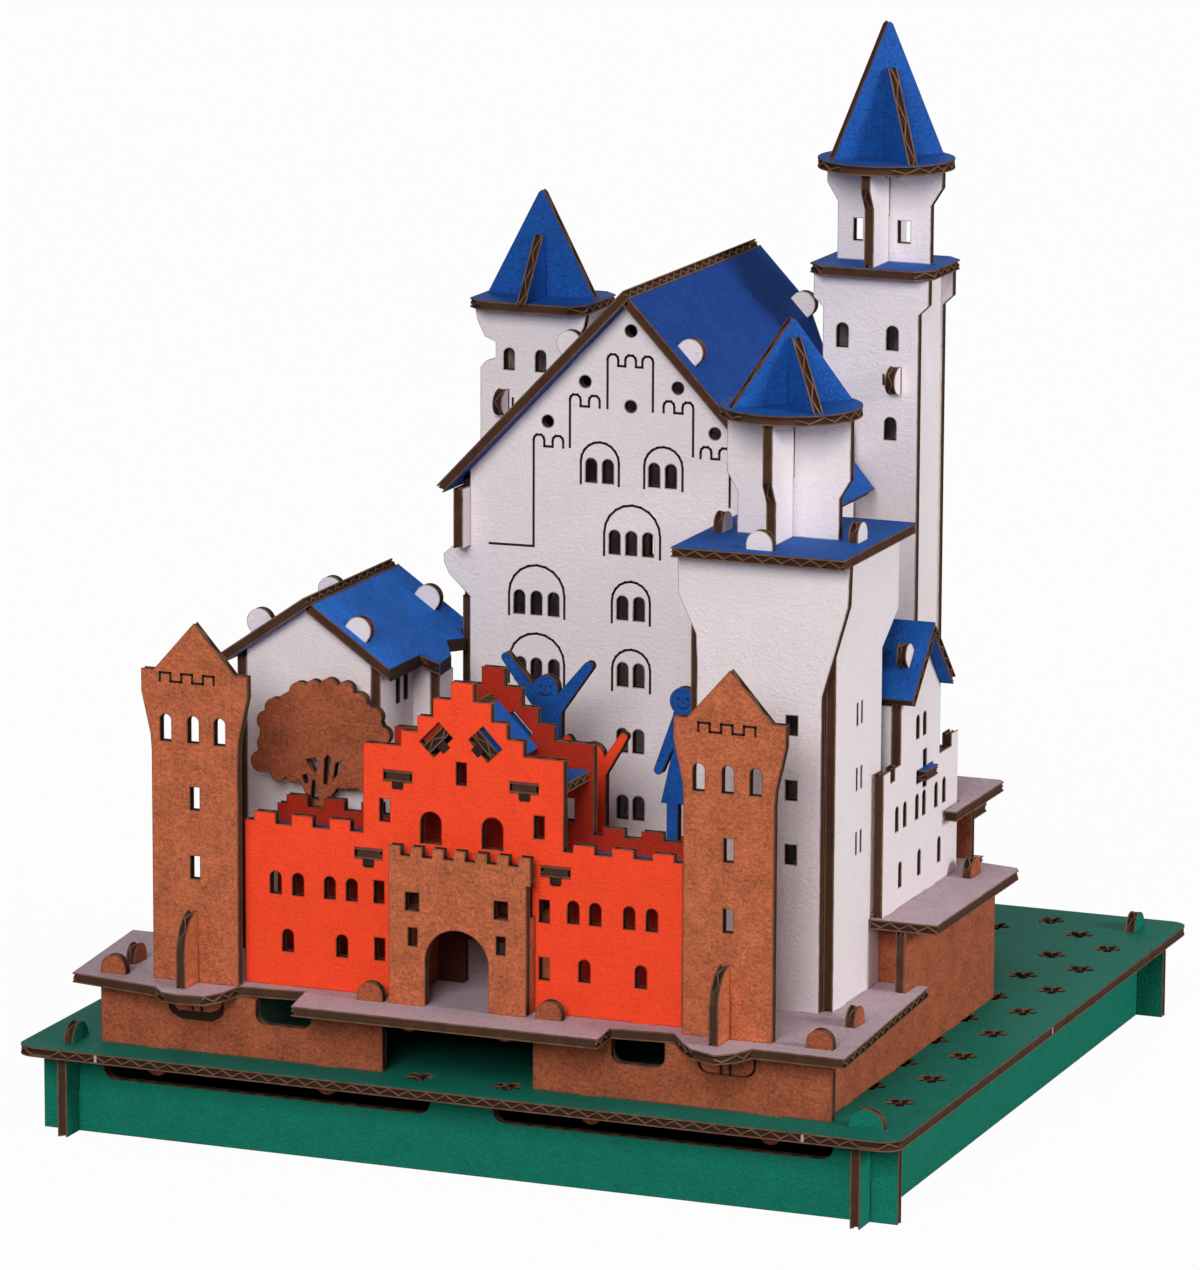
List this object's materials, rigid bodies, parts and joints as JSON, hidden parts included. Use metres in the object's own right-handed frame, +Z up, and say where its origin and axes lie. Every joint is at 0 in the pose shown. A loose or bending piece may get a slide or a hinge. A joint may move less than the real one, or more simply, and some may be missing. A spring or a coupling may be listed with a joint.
{
  "type": "cardboard castle",
  "caption": "Model castle of slotted corrugated-board panels on a square base, with stepped gate, house, gabled palace and cone-roofed towers; a desk ornament.",
  "frame": {"origin": "middle of the castle's outline seen from above, on the surface that it stands on; the square base's middle lies 1.1 mm behind it", "axes": "+X to the right of the front, +Y from the gate front to the back, +Z up"},
  "size_m": [0.15, 0.1522, 0.1736],
  "materials": {
    "green_board": "matt printed",
    "kraft_board": "matt",
    "stone_board": "matt printed",
    "orange_board": "matt printed",
    "blue_board": "matt printed",
    "white_board": "matt printed"
  },
  "bodies": {
    "root": {"back_tower_cone": "blue_board", "back_tower_faces": "white_board", "back_tower_sides": "white_board", "base_plate": "green_board", "base_walls": "green_board", "figure_child": "orange_board", "figure_man": "blue_board", "figure_woman": "blue_board", "front_tower_fins": "kraft_board", "front_towers": "kraft_board", "gate_passage_sides": "orange_board", "gate_porch_front": "kraft_board", "gate_roof_slopes": "blue_board", "gate_shoulder_decks": "blue_board", "gate_wall_back": "orange_board", "gate_wall_front": "orange_board", "gate_wing_decks": "blue_board", "house_back": "white_board", "house_bay": "white_board", "house_cross": "white_board", "house_front": "white_board", "house_roof_left": "blue_board", "house_roof_right": "blue_board", "house_side_left": "white_board", "house_side_right": "white_board", "octagon_decks": "blue_board", "palace_awning": "blue_board", "palace_back": "white_board", "palace_front": "white_board", "palace_roof_left": "blue_board", "palace_roof_right": "blue_board", "palace_side_left": "white_board", "palace_side_right": "white_board", "rock_back": "kraft_board", "rock_cross": "kraft_board", "rock_front_left": "kraft_board", "rock_front_right": "kraft_board", "rock_inner_sides": "kraft_board", "rock_side_left": "kraft_board", "rock_side_right": "kraft_board", "round_plates": "blue_board", "square_tower_back": "white_board", "square_tower_deck": "blue_board", "square_tower_front": "white_board", "square_tower_sides": "white_board", "tall_cone": "blue_board", "tall_top_panels": "white_board", "tall_tower_faces": "white_board", "tall_tower_sides": "white_board", "terrace_high": "stone_board", "terrace_low": "stone_board", "terrace_middle": "stone_board", "terrace_step_wall": "kraft_board", "tree": "kraft_board", "turret_cone": "blue_board", "turret_panels": "white_board", "wing_deck": "blue_board", "wing_ends": "white_board", "wing_roof_slopes": "blue_board", "wing_wall": "white_board"}
  },
  "joints": []
}
